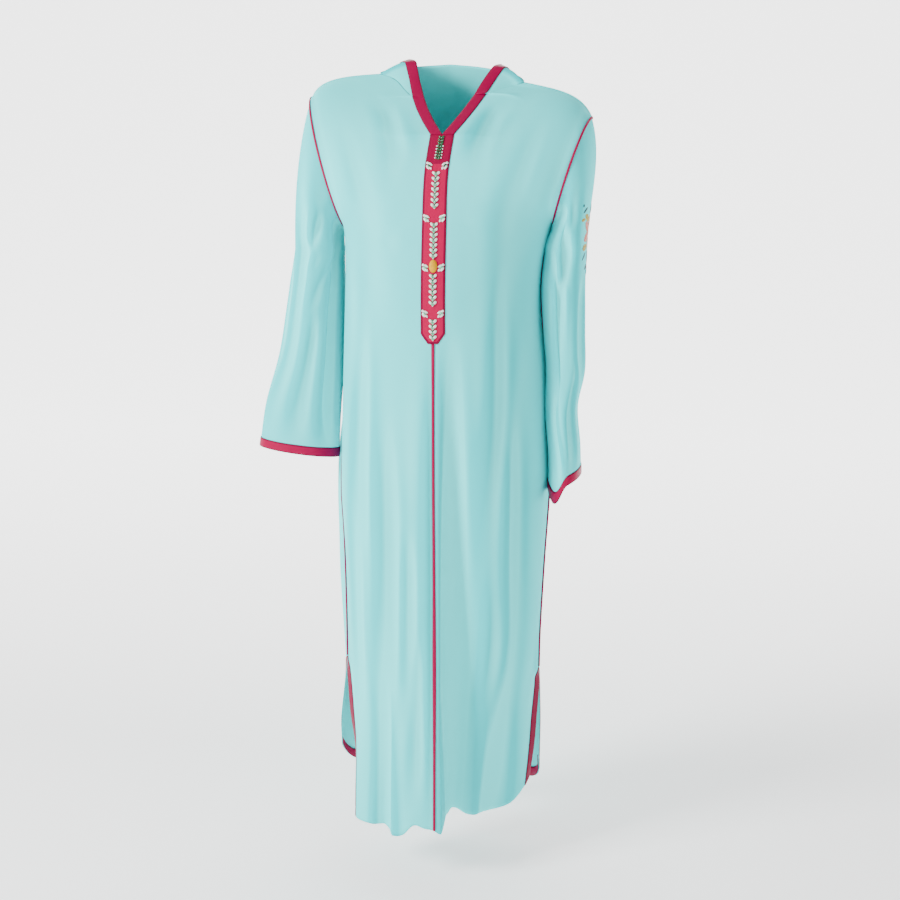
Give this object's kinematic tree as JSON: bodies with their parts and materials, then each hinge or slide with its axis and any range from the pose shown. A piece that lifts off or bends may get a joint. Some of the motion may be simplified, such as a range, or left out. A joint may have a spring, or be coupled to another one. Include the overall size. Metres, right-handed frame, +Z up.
{
  "type": "djellaba",
  "caption": "Long hooded robe of thin cloth with a banded V neck, a beaded front strip, piped seams, banded cuffs and side slits, shaped as it is worn.",
  "frame": {"origin": "on the middle line, at the height where the shoulders meet the neck", "axes": "+Z up, the front faces -Y, +X towards the wearer's left side"},
  "size_m": [0.5935, 0.2984, 1.351],
  "materials": {
    "cloth": "smooth crepe",
    "band": "satin",
    "piping": "corded satin",
    "beads": "opal white and green",
    "stone": "polished"
  },
  "bodies": {
    "root": {"front_right": "cloth", "sleeve_right": "cloth", "front_left": "cloth", "sleeve_left": "cloth", "back": "cloth", "hood": "cloth", "neck_band_right": "band", "cuff_band_right": "band", "neck_band_left": "band", "cuff_band_left": "band", "hood_band": "band", "slit_band_front_right": "band", "slit_band_front_left": "band", "slit_band_back_right": "band", "slit_band_back_left": "band", "back_hem_facing": "band", "placket": "band", "bead_row_1": "beads", "bead_row_2": "beads", "bead_row_3": "beads", "bead_row_4": "beads", "bead_row_5": "beads", "bead_sprig_right_1": "beads", "bead_sprig_left_1": "beads", "bead_sprig_right_2": "beads", "bead_sprig_left_2": "beads", "bead_sprig_right_3": "beads", "bead_sprig_left_3": "beads", "bead_sprig_right_4": "beads", "bead_sprig_left_4": "beads", "centre_stone": "stone", "armhole_piping_right": "piping", "side_piping_right": "piping", "armhole_piping_left": "piping", "side_piping_left": "piping", "centre_piping": "piping"}
  },
  "joints": []
}
